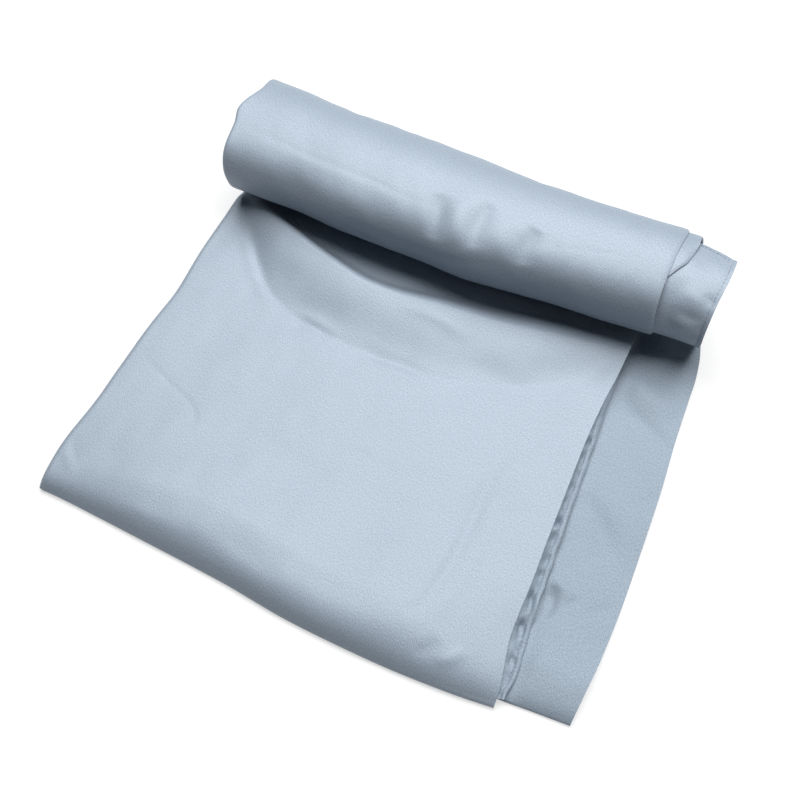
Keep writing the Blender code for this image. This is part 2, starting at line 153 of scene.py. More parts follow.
def ease(part):
    """Smooth ramp from 0 to 1."""
    part = np.clip(part, 0.0, 1.0)
    return part * part * (3.0 - 2.0 * part)


def mix(low, high, part):
    return low + (high - low) * part


def hump(at, middle, width):
    """A rounded hump one unit high."""
    return np.exp(-((at - middle) / width) ** 2)


def bumps(at, table):
    """Sum of rounded humps: place, length, height."""
    return sum(high * hump(at, place, length) for place, length, high in table)


# %% [markdown]
# Creases are placed as lines drawn on the cloth. Each is a soft trough or ridge with a
# width and a depth, and it runs out at both ends. Between them real cloth is never quite flat,
# so a slow random swell is added: a few sine waves in fixed odd directions, the same each run.

# %% Creases and waves
CREASE_END = 0.7            # below 1, a crease stays full nearly to its ends


def drawn_line(places, count=24):
    """A smooth line through a few places."""
    rows = [(i, *place) for i, place in enumerate(places)]
    steps = np.linspace(0, len(places) - 1, count)
    return np.stack([smooth_table(rows, steps, 1), smooth_table(rows, steps, 2)], 1)


def crease(x, y, depth, width, places):
    """Height of one crease: most in the middle of its line, nothing at its ends."""
    line = drawn_line(places)
    nearest, along = np.full(x.shape, 1e9), np.zeros(x.shape)
    for index, (start, end) in enumerate(zip(line, line[1:])):
        step = end - start
        part = ((x - start[0]) * step[0] + (y - start[1]) * step[1]) / (step @ step)
        part = np.clip(part, 0.0, 1.0)
        away = np.hypot(x - start[0] - part * step[0], y - start[1] - part * step[1])
        along = np.where(away < nearest, (index + part) / (len(line) - 1), along)
        nearest = np.minimum(away, nearest)
    return depth * hump(nearest, 0.0, width) * np.sin(np.pi * along) ** CREASE_END


def creases(x, y, table):
    return sum(crease(x, y, *row) for row in table)


def slow_waves(x, y, length, seed, count=9):
    """A random swell of about one unit, made of sine waves longer than the given length."""
    dice = np.random.default_rng(seed)
    total = np.zeros(np.shape(x))
    for _ in range(count):
        heading, phase = dice.uniform(0.0, np.pi), dice.uniform(0.0, 2.0 * np.pi)
        reach = length * dice.uniform(1.0, 2.2)
        total += np.sin((x * np.cos(heading) + y * np.sin(heading)) * 2.0 * np.pi / reach + phase)
    return total / math.sqrt(count)


def waves_of(x, y, table):
    """Sum of random swells: height, length, seed."""
    return sum(high * slow_waves(x, y, length, seed) for high, length, seed in table)


# %% [markdown]
# A sheet of cloth starts as Blender's grid primitive, shaped by a function that gives the place
# of each of its points. Solidify turns it into a thin wall and gives its inner side the second
# material, the dull back of the satin. A vertex group makes the wall thicker where it is hemmed.
# The UV map holds real lengths along the cloth, so the weave has the same size everywhere.

# %% Making a sheet
CLOTH, HEM = 0.5, 1.0       # thickness of the cloth and of its hems
EDGE_HEM, RIM_HEM = 3.5, 3.2                        # width of the hems
SMOOTH_BELOW = math.radians(50.0)


def make_sheet(name, columns, rows, surface, replaced, inwards=False, hem=None):
    """A grid laid on a surface that gives x, y and z for its shares u and v."""
    bpy.ops.object.select_all(action="DESELECT")
    bpy.ops.mesh.primitive_grid_add(x_subdivisions=columns, y_subdivisions=rows, size=1.0)
    piece = bpy.context.object
    piece.name = piece.data.name = name
    mesh = piece.data
    shape = (rows + 1, columns + 1)
    u, v = np.meshgrid(np.linspace(0.0, 1.0, columns + 1), np.linspace(0.0, 1.0, rows + 1))
    x, y, z = (np.broadcast_to(side, shape) for side in surface(u, v))
    place = np.stack([(x - PLAN_CENTRE[0]) * MM, (y - PLAN_CENTRE[1]) * MM, z * MM], 2)
    mesh.vertices.foreach_set("co", place.astype(np.float32).ravel())
    across = np.cumsum(np.linalg.norm(np.diff(place, axis=1, prepend=place[:, :1]), axis=2), 1)
    along = np.cumsum(np.linalg.norm(np.diff(place, axis=0, prepend=place[:1]), axis=2), 0)
    lengths = np.stack([across, along], 2).reshape(-1, 2)
    corners = np.zeros(len(mesh.loops), int)
    mesh.loops.foreach_get("vertex_index", corners)
    mesh.uv_layers[0].data.foreach_set("uv", lengths[corners].astype(np.float32).ravel())
    if inwards:
        bpy.ops.object.mode_set(mode="EDIT")
        bpy.ops.mesh.select_all(action="SELECT")
        bpy.ops.mesh.flip_normals()
        bpy.ops.object.mode_set(mode="OBJECT")
    finish_sheet(piece, hem(u, v, x, y) if hem else np.zeros(shape))
    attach(piece, "root")
    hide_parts(replaced)
    size = across[:, -1].mean(), along[-1].mean()
    print(name, "%d x %d mm of cloth," % tuple(side / MM for side in size),
          len(piece.data.vertices), "points")
    return piece


def finish_sheet(piece, hem_weights):
    """Thickness, hems and smooth shading for a sheet that is still one grid."""
    hems = piece.vertex_groups.new(name="hem")
    for index in np.flatnonzero(hem_weights.ravel() > 0.01):
        hems.add([int(index)], float(hem_weights.ravel()[index]), "REPLACE")
    wall = piece.modifiers.new("wall", "SOLIDIFY")
    wall.thickness, wall.offset = HEM * MM, -1.0
    wall.vertex_group, wall.thickness_vertex_group = "hem", CLOTH / HEM
    wall.material_offset = 1
    bpy.ops.object.modifier_apply(modifier="wall")
    bpy.ops.object.shade_smooth_by_angle(angle=SMOOTH_BELOW)


def right_hem(u, v, x, y):
    """A hem along the right edge, by the share of the sheet's width."""
    return ease(1.0 - (1.0 - u) * (x[:, -1:] - x[:, :1]) / EDGE_HEM)


def rim_hem(u, v, x, y):
    """A hem along the right edge, by the distance from it."""
    return ease(1.0 - (x[:, -1:] - x) / RIM_HEM)


# %% [markdown]
# The satin is woven with long floating threads, which gives it a soft directional sheen and a
# fine lively grain. One node group makes the pattern from the UV map: short flecks along the
# threads, a slower unevenness, and a little dulling. It puts out a colour, a roughness and a
# height, and each material places it with its own values. The face has a strong, broad gloss,
# and the back is duller. The dye is darker than the cloth looks, because the gloss adds to it.

# %% The satin pattern
FLECK_SCALE, UNEVEN_SCALE = (1500.0, 760.0, 1.0), 60.0


def add_node(tree, kind, **inputs):
    node = tree.nodes.new(kind)
    for name, value in inputs.items():
        node.inputs[name.replace("_", " ")].default_value = value
    return node


def make_satin_group():
    """Node group: flecks, slow unevenness and fine height of a satin weave."""
    tree = bpy.data.node_groups.new("satin_weave", "ShaderNodeTree")
    face = tree.interface
    face.new_socket("Cloth", in_out="INPUT", socket_type="NodeSocketVector")
    face.new_socket("Colour", in_out="INPUT", socket_type="NodeSocketColor")
    for name, value in (("Roughness", 0.4), ("Fleck", 0.1), ("Unevenness", 0.05)):
        face.new_socket(name, in_out="INPUT", socket_type="NodeSocketFloat").default_value = value
    face.new_socket("Colour", in_out="OUTPUT", socket_type="NodeSocketColor")
    face.new_socket("Roughness", in_out="OUTPUT", socket_type="NodeSocketFloat")
    face.new_socket("Height", in_out="OUTPUT", socket_type="NodeSocketFloat")
    given, made = tree.nodes.new("NodeGroupInput"), tree.nodes.new("NodeGroupOutput")
    link = tree.links.new

    threads = add_node(tree, "ShaderNodeMapping", Scale=FLECK_SCALE)
    fleck = add_node(tree, "ShaderNodeTexNoise", Scale=1.0, Detail=1.0, Roughness=0.5)
    slow = add_node(tree, "ShaderNodeTexNoise", Scale=UNEVEN_SCALE, Detail=3.0, Roughness=0.55)
    link(given.outputs["Cloth"], threads.inputs["Vector"])
    link(threads.outputs["Vector"], fleck.inputs["Vector"])
    link(given.outputs["Cloth"], slow.inputs["Vector"])

    def around_one(noise, strength):
        """Turns a noise of 0 to 1 into a factor about 1, as strong as the strength says."""
        centred = tree.nodes.new("ShaderNodeMath")
        centred.operation = "SUBTRACT"
        centred.inputs[1].default_value = 0.5
        scaled = tree.nodes.new("ShaderNodeMath")
        scaled.operation = "MULTIPLY_ADD"
        scaled.inputs[2].default_value = 1.0
        link(noise, centred.inputs[0])
        link(centred.outputs[0], scaled.inputs[0])
        link(strength, scaled.inputs[1])
        return scaled.outputs[0]

    both = tree.nodes.new("ShaderNodeMath")
    both.operation = "MULTIPLY"
    link(around_one(fleck.outputs["Fac"], given.outputs["Fleck"]), both.inputs[0])
    link(around_one(slow.outputs["Fac"], given.outputs["Unevenness"]), both.inputs[1])
    tint = tree.nodes.new("ShaderNodeVectorMath")
    tint.operation = "SCALE"
    link(given.outputs["Colour"], tint.inputs[0])
    link(both.outputs[0], tint.inputs["Scale"])
    link(tint.outputs[0], made.inputs["Colour"])
    dulled = tree.nodes.new("ShaderNodeMath")
    dulled.operation = "MULTIPLY"
    link(given.outputs["Roughness"], dulled.inputs[0])
    link(around_one(slow.outputs["Fac"], given.outputs["Unevenness"]), dulled.inputs[1])
    link(dulled.outputs[0], made.inputs["Roughness"])
    link(fleck.outputs["Fac"], made.inputs["Height"])
    return tree


satin_weave = make_satin_group()
print("satin group has", len(satin_weave.nodes), "nodes")

# %% [markdown]
# Both sides of the satin are Principled materials that use the group. A touch of metallic gloss
# takes light away from the sides that turn to the front, as the long silky threads do. The
# stitches are sewn with a slightly darker thread of the same kind.

# %% Satin face and back
SILKINESS = 0.14            # how much of the gloss is metallic
SHEEN_ROUGHNESS, SHEEN_TINT = 0.35, (0.82, 0.84, 1.0, 1.0)
BUMP_STRENGTH, BUMP_HEIGHT = 0.5, 0.0003
FACE_COLOUR = (0.255, 0.307, 0.367, 1.0)
BACK_COLOUR = (0.252, 0.305, 0.362, 1.0)
THREAD_COLOUR = (0.19, 0.235, 0.29, 1.0)


def make_satin(name, colour, roughness, gloss, fleck, unevenness, sheen):
    """A Principled material with the satin pattern in its colour, roughness and bump."""
    material = bpy.data.materials.new(name)
    material.use_nodes = True
    tree = material.node_tree
    shader = tree.nodes["Principled BSDF"]
    shader.inputs["Specular IOR Level"].default_value = gloss
    shader.inputs["Metallic"].default_value = SILKINESS
    shader.inputs["Sheen Weight"].default_value = sheen
    shader.inputs["Sheen Roughness"].default_value = SHEEN_ROUGHNESS
    shader.inputs["Sheen Tint"].default_value = SHEEN_TINT
    cloth = tree.nodes.new("ShaderNodeUVMap")
    weave = tree.nodes.new("ShaderNodeGroup")
    weave.node_tree = satin_weave
    weave.inputs["Colour"].default_value = colour
    weave.inputs["Roughness"].default_value = roughness
    weave.inputs["Fleck"].default_value = fleck
    weave.inputs["Unevenness"].default_value = unevenness
    bump = add_node(tree, "ShaderNodeBump", Strength=BUMP_STRENGTH, Distance=BUMP_HEIGHT)
    link = tree.links.new
    link(cloth.outputs["UV"], weave.inputs["Cloth"])
    link(weave.outputs["Colour"], shader.inputs["Base Color"])
    link(weave.outputs["Roughness"], shader.inputs["Roughness"])
    link(weave.outputs["Height"], bump.inputs["Height"])
    link(bump.outputs["Normal"], shader.inputs["Normal"])
    return material


satin_face = make_satin("satin_face", FACE_COLOUR, roughness=0.55, gloss=0.7, fleck=0.90,
                        unevenness=0.06, sheen=0.04)
satin_back = make_satin("satin_back", BACK_COLOUR, roughness=0.65, gloss=0.35, fleck=0.95,
                        unevenness=0.06, sheen=0.10)
thread = make_satin("thread", THREAD_COLOUR, roughness=0.6, gloss=0.4, fleck=0.3,
                    unevenness=0.06, sheen=0.05)


def dress(piece, slot):
    """Outer side in the slot's satin, inner side in the other one."""
    order = (satin_face, satin_back) if slot == "satin_face" else (satin_back, satin_face)
    for material in order:
        piece.data.materials.append(material)


print("materials:", [material.name for material in (satin_face, satin_back, thread)])

# %% [markdown]
# The top of the folded stack is one sheet. It is rounded over at its left and at its front,
# where it turns down to the table, and it swells up before the roll and dips under it. The
# tables for its lines are nearly those of the solids. The swell is what the photograph shows
# most: a shaded slope with a sharp foot, then a pale crest, then a deep dark gap.

# %% Lines of the folded stack
UNDER_BACK = 302.5          # y where the stack ends, below the roll
STACK_TOP, PANEL_TOP = 9.6, 11.2                    # height below the roll and before it
FOLD_LIFT, FOLD_NOSE, FOLD_TURN = 0.3, 0.4, math.radians(150.0)
FRONT_REACH, FRONT_LOW, FRONT_START = 1.0, 4.4, math.radians(54.0)
FRONT_LEVELLING = 70.0      # length over which the front's height turns into the panel's
FRONT_SLOPE = ((-8, 16, 11.0), (20, 24, 13.0), (60, 30, 15.6), (110, 32, 16.8), (160, 29, 16.6),
               (200, 27, 16.4), (240, 32, 16.6), (275, 34, 15.6), (300, 32, 13.2),
               (332, 26, 9.8))                                          # x, length, height
SWELL_FOOT, SWELL_SOFTNESS = 0.95, 0.3              # how sharply it rises, and how S-shaped
PRESSED_FROM, PRESSED_OVER = 262.0, 30.0            # y where the roll flattens the creases
PANEL_WAVES = ((0.30, 42.0, 3), (0.07, 14.0, 4))    # height, length, seed
LEFT_REACH = 5.0

LEFT_FOLD = ((0, -4.2), (20, -6.2), (45, -7.4), (80, -4.4), (110, -3.8), (150, -2.4),
             (186, 0.2), (226, -1.6), (258, -1.1), (300, 0.8))          # y, x
FRONT_FOLD = ((-8, 8.8), (20, 8.6), (80, 5.0), (140, 0.9), (188, -4.4), (247, -6.4),
              (296, -4.8), (332, -1.2))                                 # x, y of its nose
SWELL = ((-8, 266, 282, 294, 0.5), (14, 258, 278, 293, 3.8), (30, 246, 272, 287, 9.0),
         (62, 214, 260.5, 275, 13.4), (96, 200, 249.5, 264, 14.0), (134, 194, 241, 257, 12.8),
         (189, 192, 246, 264, 10.8), (243, 204, 252, 273, 8.8), (290, 226, 261, 284, 6.4),
         (332, 244, 269, 290, 3.2))                # x, foot y, crest y, heel y, height
TOP_EDGE = ((-10, 330.5), (4, 330), (14, 328.6), (38, 324), (56, 323.2), (78, 323.2),
            (111, 322.2), (150, 321.5), (191, 320.8), (225, 322), (256, 324.5),
            (300, 326))                                                 # y, x

# Creases of the panel: height (troughs are below zero), width, line of x, y
PANEL_CREASES = (
    (-0.35, 2.0, ((9, 125), (36, 114), (62, 103), (73, 87))),
    (-0.25, 2.0, ((100, 79), (108, 80), (118, 79))),
    (-0.25, 2.0, ((180, 118), (187, 119), (194, 117))),
    (-0.25, 2.0, ((206, 82), (213, 84), (220, 85))),
    (0.7, 4.5, ((12, 268), (27, 248), (41, 230), (60, 210), (76, 198))),
    (-0.5, 4.0, ((22, 262), (38, 242), (54, 224), (70, 210))),
    (0.5, 4.2, ((84, 202), (104, 202), (118, 200), (132, 196))),
    (0.4, 3.6, ((100, 191), (112, 191), (128, 188))),
    (-0.4, 4.4, ((90, 197), (110, 196), (126, 193))),
    (-0.6, 4.4, ((146, 196), (165, 193), (183, 194), (207, 192))),
    (0.5, 4.4, ((150, 188), (167, 187), (184, 187), (205, 184))),
    (0.7, 5.0, ((160, 234), (180, 236), (200, 234), (218, 229))),
    (-0.9, 11.0, ((212, 212), (243, 213), (275, 208))),
    (0.45, 4.0, ((318, 262), (306, 236), (292, 206), (276, 170))),
    (-0.35, 4.0, ((322, 245), (312, 218), (300, 190), (284, 160))),
    (-0.8, 4.5, ((273, 166), (272, 140), (272, 100), (271, 70), (266, 38), (256, 26))),
    (0.4, 5.0, ((283, 160), (283, 120), (283, 70), (276, 34))),
    (-0.25, 2.5, ((280, 111), (294, 120), (309, 128))),
    (0.5, 8.0, ((3, 34), (24, 34), (56, 40), (104, 43), (143, 41), (195, 33), (226, 31),
                (259, 33), (276, 40))),
    (-0.4, 7.0, ((118, 26), (150, 22), (176, 14))),
    (0.35, 5.0, ((40, 14), (70, 18), (104, 17))),
    (0.8, 4.5, ((288, 6), (296, 13), (301, 22))),
    (-0.6, 4.5, ((272, 6), (280, 12), (284, 20))),
    (0.3, 3.5, ((-2, 40), (6, 32), (16, 24))),
    (-0.3, 4.0, ((-2, 52), (4, 42), (12, 34))),
)


def panel_height(x, y):
    """Top of the stack: level, swelling up before the roll, pressed flat below it."""
    foot, crest, heel, swell = (smooth_table(SWELL, x, column) for column in (1, 2, 3, 4))
    length = smooth_table(FRONT_SLOPE, x, 1)
    from_nose = y - smooth_table(FRONT_FOLD, x, 1) - FRONT_REACH
    level = mix(smooth_table(FRONT_SLOPE, x, 2), PANEL_TOP,
                ease((from_nose - length) / FRONT_LEVELLING))
    near = np.clip(1.0 - from_nose / length, 0.0, 1.0)
    level = mix(level, FRONT_LOW, 0.6 * near ** 2.2 + 0.4 * near ** 6)
    rise = np.clip((y - foot) / (crest - foot), 0.0, 1.0) ** SWELL_FOOT
    up = level + swell * (rise - SWELL_SOFTNESS * np.sin(2.0 * np.pi * rise) / (2.0 * np.pi))
    down = mix(level + swell, STACK_TOP, ease((y - crest) / (heel - crest)))
    return np.where(y <= crest, up, down)


def panel_relief(x, y):
    """Creases and waves of the stack, which die out where the roll presses on it."""
    free = 1.0 - ease((y - PRESSED_FROM) / PRESSED_OVER)
    return (creases(x, y, PANEL_CREASES) + waves_of(x, y, PANEL_WAVES)) * free


def panel_top(x, y):
    return panel_height(x, y) + panel_relief(x, y)


print(len(PANEL_CREASES), "creases on the panel")

# %% [markdown]
# The sheet's first columns and rows make the turned down folds, and the rest is the panel. The
# front fold starts at a slope of its own and comes round in a tight nose, while the left fold
# is a plain wide bend. The two meet at the rounded corner. The rows lie closer together near
# the front, where the cloth bends most.

# %% The top sheet
FOLD_CELLS, PANEL_COLUMNS, PANEL_ROWS = 14, 196, 180
PANEL_RIGHT, PANEL_CROWDING = 325.0, 0.35           # how much its rows crowd to the front


def turned_under(reach, height, angle, start):
    """How far out and how far down a fold has come, when it starts at a slope of its own."""
    below = height * FOLD_NOSE
    out = reach * (np.sin(angle) - np.sin(start)) / (1.0 - np.sin(start))
    out = np.where(angle <= np.pi / 2.0, out, reach - below * (1.0 - np.sin(angle)))
    down = (height - below) * (1.0 - np.maximum(np.cos(angle) / np.cos(start), 0.0))
    return out, down - below * np.minimum(np.cos(angle), 0.0)


def top_surface(u, v):
    """The panel, and the folds that turn down at its left and front."""
    share_x = FOLD_CELLS / (FOLD_CELLS + PANEL_COLUMNS)
    share_y = FOLD_CELLS / (FOLD_CELLS + PANEL_ROWS)
    turn_x, turn_y = np.clip(1.0 - u / share_x, 0.0, 1.0), np.clip(1.0 - v / share_y, 0.0, 1.0)
    across = np.clip((u - share_x) / (1.0 - share_x), 0.0, 1.0)
    along = np.clip((v - share_y) / (1.0 - share_y), 0.0, 1.0)
    along = mix(along, along * along, PANEL_CROWDING)
    x = mix(LEFT_REACH, PANEL_RIGHT, across)
    y = mix(smooth_table(FRONT_FOLD, x) + FRONT_REACH, UNDER_BACK, along)
    x = mix(smooth_table(LEFT_FOLD, y) + LEFT_REACH, smooth_table(TOP_EDGE, y), across)
    z = panel_top(x, y)
    length = np.maximum(np.hypot(turn_x, turn_y), 1e-9)
    start = FRONT_START * (turn_y / length) ** 2
    angle = mix(start, FOLD_TURN, np.maximum(turn_x, turn_y))
    out_x, down = turned_under(LEFT_REACH, z - FOLD_LIFT, angle, start)
    out_y, down = turned_under(FRONT_REACH, z - FOLD_LIFT, angle, start)
    return x - turn_x / length * out_x, y - turn_y / length * out_y, z - down


top_sheet = make_sheet("top_sheet", FOLD_CELLS + PANEL_COLUMNS, FOLD_CELLS + PANEL_ROWS,
                       top_surface, "top_layer", hem=right_hem)
dress(top_sheet, "satin_face")

# %% [markdown]
# Under the top sheet's right edge the next layer peeks out with its own narrow hem. The hem is
# puckered: its stitching draws the cloth up, so it dips into small dark pockets between the
# sheet above and its raised edge.

# %% The hemmed margin
MARGIN_LEFT, MARGIN_START, MARGIN_BACK = 262.0, 3.0, 298.0
MARGIN_EDGE = ((8, 334.4), (19, 336), (32, 335.2), (46, 333.7), (72, 331.8), (91, 331.3),
               (117, 329.7), (142, 328.9), (178, 327.4), (198, 326.4), (225, 325), (264, 324))
# Pockets beside the hem: y, length, depth
MARGIN_POCKETS = ((28, 4, 2.6), (50, 5, 4.6), (72, 5, 4.6), (88, 3, 2.8), (101, 4, 3.4),
                  (113, 3, 2.8), (128, 5, 4.0), (143, 3, 3.0), (155, 4, 3.6), (167, 3, 3.0),
                  (178, 4, 3.6), (192, 4, 2.8), (206, 5, 2.2))
POCKETS_IN, POCKETS_WIDTH = 5.8, 2.2                # their distance from the edge
HEM_BEAD, BEAD_IN, BEAD_WIDTH = 1.8, 1.2, 2.0       # height, distance from the edge, width
HEM_GROOVE, GROOVE_IN, GROOVE_WIDTH = 0.4, 3.4, 0.7
MARGIN_PUCKER, MARGIN_PUFFS = ((0.14, 9.0, 11),), ((0.7, 6.0, 12),)     # height, length, seed
PUFFS_IN, PUFFS_WIDTH = 5.0, 3.0
MARGIN_TUCK, MARGIN_TUCKED = 5.0, 12.0              # its first twelfth follows the front fold
MARGIN_SINK, MARGIN_BLEND = 2.2, 3.0                # depth below the top sheet
MARGIN_EDGE_LOW, MARGIN_FRONT_LOW = 4.0, 5.8        # height of its outer edge, and at the front
MARGIN_LIFTS = ((69, 9, 3.6), (122, 9, 2.0))        # where its edge stands off: y, length, height
LIFT_LENGTH = 6.0


def margin_surface(u, v):
    """From below the top sheet out to its own beaded, puckered edge."""
    y = mix(MARGIN_START, MARGIN_BACK, v)
    pucker = waves_of(y, y * 0.0, MARGIN_PUCKER) * ease((y - 10.0) / 20.0)
    edge = smooth_table(MARGIN_EDGE, y) + pucker
    x = mix(MARGIN_LEFT, edge, u ** 0.5)
    front = smooth_table(FRONT_FOLD, x) + MARGIN_TUCK
    y = np.maximum(y, mix(front, y, np.clip(v * MARGIN_TUCKED, 0.0, 1.0)))
    top_edge = smooth_table(TOP_EDGE, y)
    beyond = ease((x - top_edge + MARGIN_BLEND) / (2.0 * MARGIN_BLEND))
    outwards = np.clip((x - top_edge + 1.0) / np.maximum(edge - top_edge + 1.0, 5.0), 0.0, 1.0)
    to_edge = edge - x
    bead = HEM_BEAD * hump(to_edge, BEAD_IN, BEAD_WIDTH)
    groove = HEM_GROOVE * hump(to_edge, GROOVE_IN, GROOVE_WIDTH)
    dip = bumps(y, MARGIN_POCKETS) * hump(to_edge, POCKETS_IN, POCKETS_WIDTH)
    puffs = waves_of(y, to_edge, MARGIN_PUFFS) * hump(to_edge, PUFFS_IN, PUFFS_WIDTH)
    lift = bumps(y, MARGIN_LIFTS) * np.exp(-to_edge / LIFT_LENGTH)
    low = mix(MARGIN_FRONT_LOW, MARGIN_EDGE_LOW, ease((y - 26.0) / 24.0))
    height = mix(panel_top(np.minimum(x, top_edge), y) - MARGIN_SINK, low, ease(outwards))
    height = height + beyond * (bead + lift + puffs - groove - dip)
    return x, y, np.maximum(height, low - 0.3)


margin = make_sheet("margin_with_hem", 80, 250, margin_surface, "second_layer", hem=rim_hem)
dress(margin, "satin_back")

# %% [markdown]
# The widest layer shows as a strip lying on the table at the right. It starts with a low fold
# of its own at the front, and soft valleys run across it where the stack above lets go of it.

# %% The strip on the table
FLAP_ROWS, TURN_ROWS, STRIP_ROWS = 8, 12, 190
STRIP_LEFT, STRIP_FLAP, STRIP_LIFT = 316.3, 20.0, 0.05
STRIP_WIDENING, STRIP_CROWDING = 16.0, 0.4          # how much wider it is below the stack
STRIP_REACH, STRIP_LOW, STRIP_START = 1.0, 2.9, math.radians(35.0)
STRIP_SLOPE, STRIP_HEIGHT, STRIP_COVERED_HEIGHT = 25.0, 8.2, 5.0
STRIP_EDGE = ((-10, 376), (8, 376.6), (24, 377.9), (53, 380.3), (96, 381.5), (156, 380.3),
              (188, 379.3), (221, 377.2), (255, 376), (270, 375.6), (284, 373.6), (294, 371),
              (304, 368))
STRIP_FRONT = ((290, 4.4), (329, 4.2), (350, 5.6), (378, 7.3))
STRIP_LEVEL, STRIP_DEEPEST, STRIP_HIDDEN = 1.2, 0.5, 2.4        # heights above the table
STRIP_SWINGS = (0.65, 1.25)                         # its long waves beside the stack and beyond
STRIP_WAVE_AT, STRIP_WAVE_LENGTH = 20.0, 92.0
STRIP_FRONT_WAVES = ((0.2, 18.0, 21),)              # height, length, seed
STRIP_CREASES = (
    (-2.0, 8.0, ((322, 244), (338, 231), (352, 221), (366, 213), (378, 208))),
    (1.8, 9.0, ((326, 262), (342, 250), (356, 243), (372, 240))),
    (1.8, 11.0, ((330, 196), (346, 192), (360, 182), (372, 168))),
    (-1.7, 8.0, ((330, 156), (344, 146), (356, 132), (362, 116))),
    (1.6, 10.0, ((336, 120), (350, 106), (362, 94), (370, 84))),
    (-2.0, 5.5, ((328, 80), (335, 74), (343, 68))),
    (-2.0, 3.6, ((338, 87), (339, 76), (338, 63))),
    (2.4, 6.0, ((331, 95), (339, 90), (352, 82))),
    (1.3, 8.0, ((346, 66), (356, 54), (366, 44))),
)
STRIP_RISE = ((328, 0), (344, 6), (364, 10))       # how far it rises into the roll: x, height


def strip_top(x, y):
    """Top of the strip: from its front fold down to the table, in low waves, then up."""
    from_front = y - smooth_table(STRIP_FRONT, x) - STRIP_REACH
    swing = mix(*STRIP_SWINGS, ease((x - 333.0) / 10.0))
    wave = swing * (1.0 - np.cos(2.0 * np.pi * (y - STRIP_WAVE_AT) / STRIP_WAVE_LENGTH))
    low = STRIP_LEVEL + wave + np.maximum(creases(x, y, STRIP_CREASES), -STRIP_DEEPEST - wave)
    low = mix(low, np.maximum(low, STRIP_HIDDEN), ease((320.0 - x) / 8.0))
    low = low + smooth_table(STRIP_RISE, x) * ease((y - 258.0) / 40.0)
    high = mix(STRIP_COVERED_HEIGHT, STRIP_HEIGHT, ease((x - 334.0) / 14.0))
    high = high + waves_of(x, y, STRIP_FRONT_WAVES)
    top = mix(low, high, 1.0 - ease((from_front - STRIP_SLOPE) / 34.0))
    near = np.clip(1.0 - from_front / STRIP_SLOPE, 0.0, 1.0)
    return mix(top, STRIP_LOW, 0.6 * near ** 2.0 + 0.4 * near ** 6)


def strip_surface(u, v):
    """Its flap below the front fold, the fold, and the strip itself."""
    row = v * STRIP_ROWS
    x = mix(STRIP_LEFT, STRIP_EDGE[1][1], u)
    front = smooth_table(STRIP_FRONT, x)
    height = strip_top(x, front + STRIP_REACH) - STRIP_LIFT
    flap = np.clip(row / FLAP_ROWS, 0.0, 1.0)
    angle = mix(np.pi, STRIP_START, np.clip((row - FLAP_ROWS) / TURN_ROWS, 0.0, 1.0))
    folded = FLAP_ROWS + TURN_ROWS
    along = np.clip((row - folded) / (STRIP_ROWS - folded), 0.0, 1.0)
    y = mix(front + STRIP_REACH, UNDER_BACK, mix(along, along * along, STRIP_CROWDING))
    left = STRIP_LEFT - STRIP_WIDENING * ease((y - 46.0) / 20.0)
    laid_x = mix(left, smooth_table(STRIP_EDGE, y), u)
    laid = along > 0.0
    out, down = turned_under(STRIP_REACH, height, angle, STRIP_START)
    fold_y = np.where(row < FLAP_ROWS, mix(front + STRIP_FLAP, front + height * FOLD_NOSE, flap),
                      front + STRIP_REACH - out)
    fold_z = np.where(row < FLAP_ROWS, STRIP_LIFT, STRIP_LIFT + height - down)
    return (np.where(laid, laid_x, x), np.where(laid, y, fold_y),
            np.where(laid, strip_top(laid_x, y), fold_z))


strip = make_sheet("strip_on_table", 44, STRIP_ROWS, strip_surface, "lower_layer", hem=right_hem)
dress(strip, "satin_back")

# %% [markdown]
# Two hidden parts fill the stack: the lowest layer, flat on the table, and the folded layers
# between it and the top. They show only as edges from low down at the right. The folded layers
# are one sheet that turns back on itself in a round fold at the left, like a hairpin.

# %% The lowest layer and the folded layers inside
UNDER_INSET, UNDER_RIGHT, UNDER_TOP = 5.0, 316.0, 0.9
INNER_LEFT, INNER_FRONT, INNER_BACK = 9.0, 12.0, 0.5            # inset from the folds
INNER_RIGHT_ENDS, INNER_WAVES = (313.0, 310.0), ((1.5, 30.0, 31),)
INNER_SINK, INNER_LOW, INNER_THICKNESS = 3.6, 3.2, 1.6          # upper side, lower side, least


def under_surface(u, v):
    y = mix(0.0, UNDER_BACK, v)
    x = mix(smooth_table(LEFT_FOLD, y) + UNDER_INSET, UNDER_RIGHT, u)
    y = mix(smooth_table(FRONT_FOLD, x) + UNDER_INSET, UNDER_BACK, v)
    return x, y, np.full(x.shape, UNDER_TOP)


under_sheet = make_sheet("lowest_sheet", 60, 60, under_surface, "under_layer")
dress(under_sheet, "satin_back")


def hairpin(u, turn_share=0.08):
    """Place along a doubled layer: distance from its fold, 0 to 1, and turn of the fold."""
    half = (1.0 - turn_share) / 2.0
    upper, lower = 1.0 - u / half, (u - half - turn_share) / half
    turn = np.pi * np.clip((u - half) / turn_share, 0.0, 1.0)
    return np.clip(np.maximum(upper, lower), 0.0, 1.0), turn


